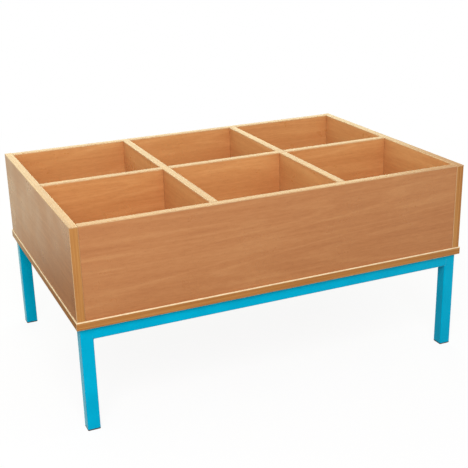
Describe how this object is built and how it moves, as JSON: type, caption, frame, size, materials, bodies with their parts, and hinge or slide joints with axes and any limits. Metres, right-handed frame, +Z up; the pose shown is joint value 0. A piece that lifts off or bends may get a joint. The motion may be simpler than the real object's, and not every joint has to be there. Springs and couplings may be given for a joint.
{
  "type": "picture book browser bin",
  "caption": "Low open-topped beech-effect box split into square cells for face-out picture books, on teal square-tube steel leg frames with plastic feet.",
  "frame": {"origin": "on the floor, at the centre of the bin's footprint", "axes": "+X along the bin's length, to the right seen from the front; +Y to the back; +Z up"},
  "size_m": [0.92, 0.62, 0.448],
  "materials": {
    "beech_board": "satin melamine, beech print",
    "beech_edging": "satin, beech print",
    "teal_steel": "powder coat, semi-gloss",
    "foot_plastic": "matt",
    "dowel_wood": "bare beech",
    "zinc_screw": "bright zinc plate"
  },
  "bodies": {
    "root": {"back_left_foot": "foot_plastic", "back_left_high_dowel": "dowel_wood", "back_left_leg": "teal_steel", "back_left_low_dowel": "dowel_wood", "back_panel": "beech_board", "back_rail": "teal_steel", "back_rail_screw_left": "zinc_screw", "back_rail_screw_middle": "zinc_screw", "back_rail_screw_right": "zinc_screw", "back_right_foot": "foot_plastic", "back_right_high_dowel": "dowel_wood", "back_right_leg": "teal_steel", "back_right_low_dowel": "dowel_wood", "back_top_band": "beech_edging", "base_back_band": "beech_edging", "base_front_band": "beech_edging", "base_left_band": "beech_edging", "base_panel": "beech_board", "base_right_band": "beech_edging", "base_screw_back_left": "zinc_screw", "base_screw_back_right": "zinc_screw", "base_screw_front_left": "zinc_screw", "base_screw_front_right": "zinc_screw", "front_left_foot": "foot_plastic", "front_left_high_dowel": "dowel_wood", "front_left_leg": "teal_steel", "front_left_low_dowel": "dowel_wood", "front_panel": "beech_board", "front_rail": "teal_steel", "front_rail_screw_left": "zinc_screw", "front_rail_screw_middle": "zinc_screw", "front_rail_screw_right": "zinc_screw", "front_right_foot": "foot_plastic", "front_right_high_dowel": "dowel_wood", "front_right_leg": "teal_steel", "front_right_low_dowel": "dowel_wood", "front_top_band": "beech_edging", "left_cross_divider": "beech_board", "left_cross_divider_back_dowel": "dowel_wood", "left_cross_divider_band": "beech_edging", "left_cross_divider_front_dowel": "dowel_wood", "left_end_back_band": "beech_edging", "left_end_front_band": "beech_edging", "left_end_panel": "beech_board", "left_end_top_band": "beech_edging", "long_divider": "beech_board", "long_divider_left_band": "beech_edging", "long_divider_left_dowel": "dowel_wood", "long_divider_middle_band": "beech_edging", "long_divider_right_band": "beech_edging", "long_divider_right_dowel": "dowel_wood", "right_cross_divider": "beech_board", "right_cross_divider_back_dowel": "dowel_wood", "right_cross_divider_band": "beech_edging", "right_cross_divider_front_dowel": "dowel_wood", "right_end_back_band": "beech_edging", "right_end_front_band": "beech_edging", "right_end_panel": "beech_board", "right_end_top_band": "beech_edging"}
  },
  "joints": []
}
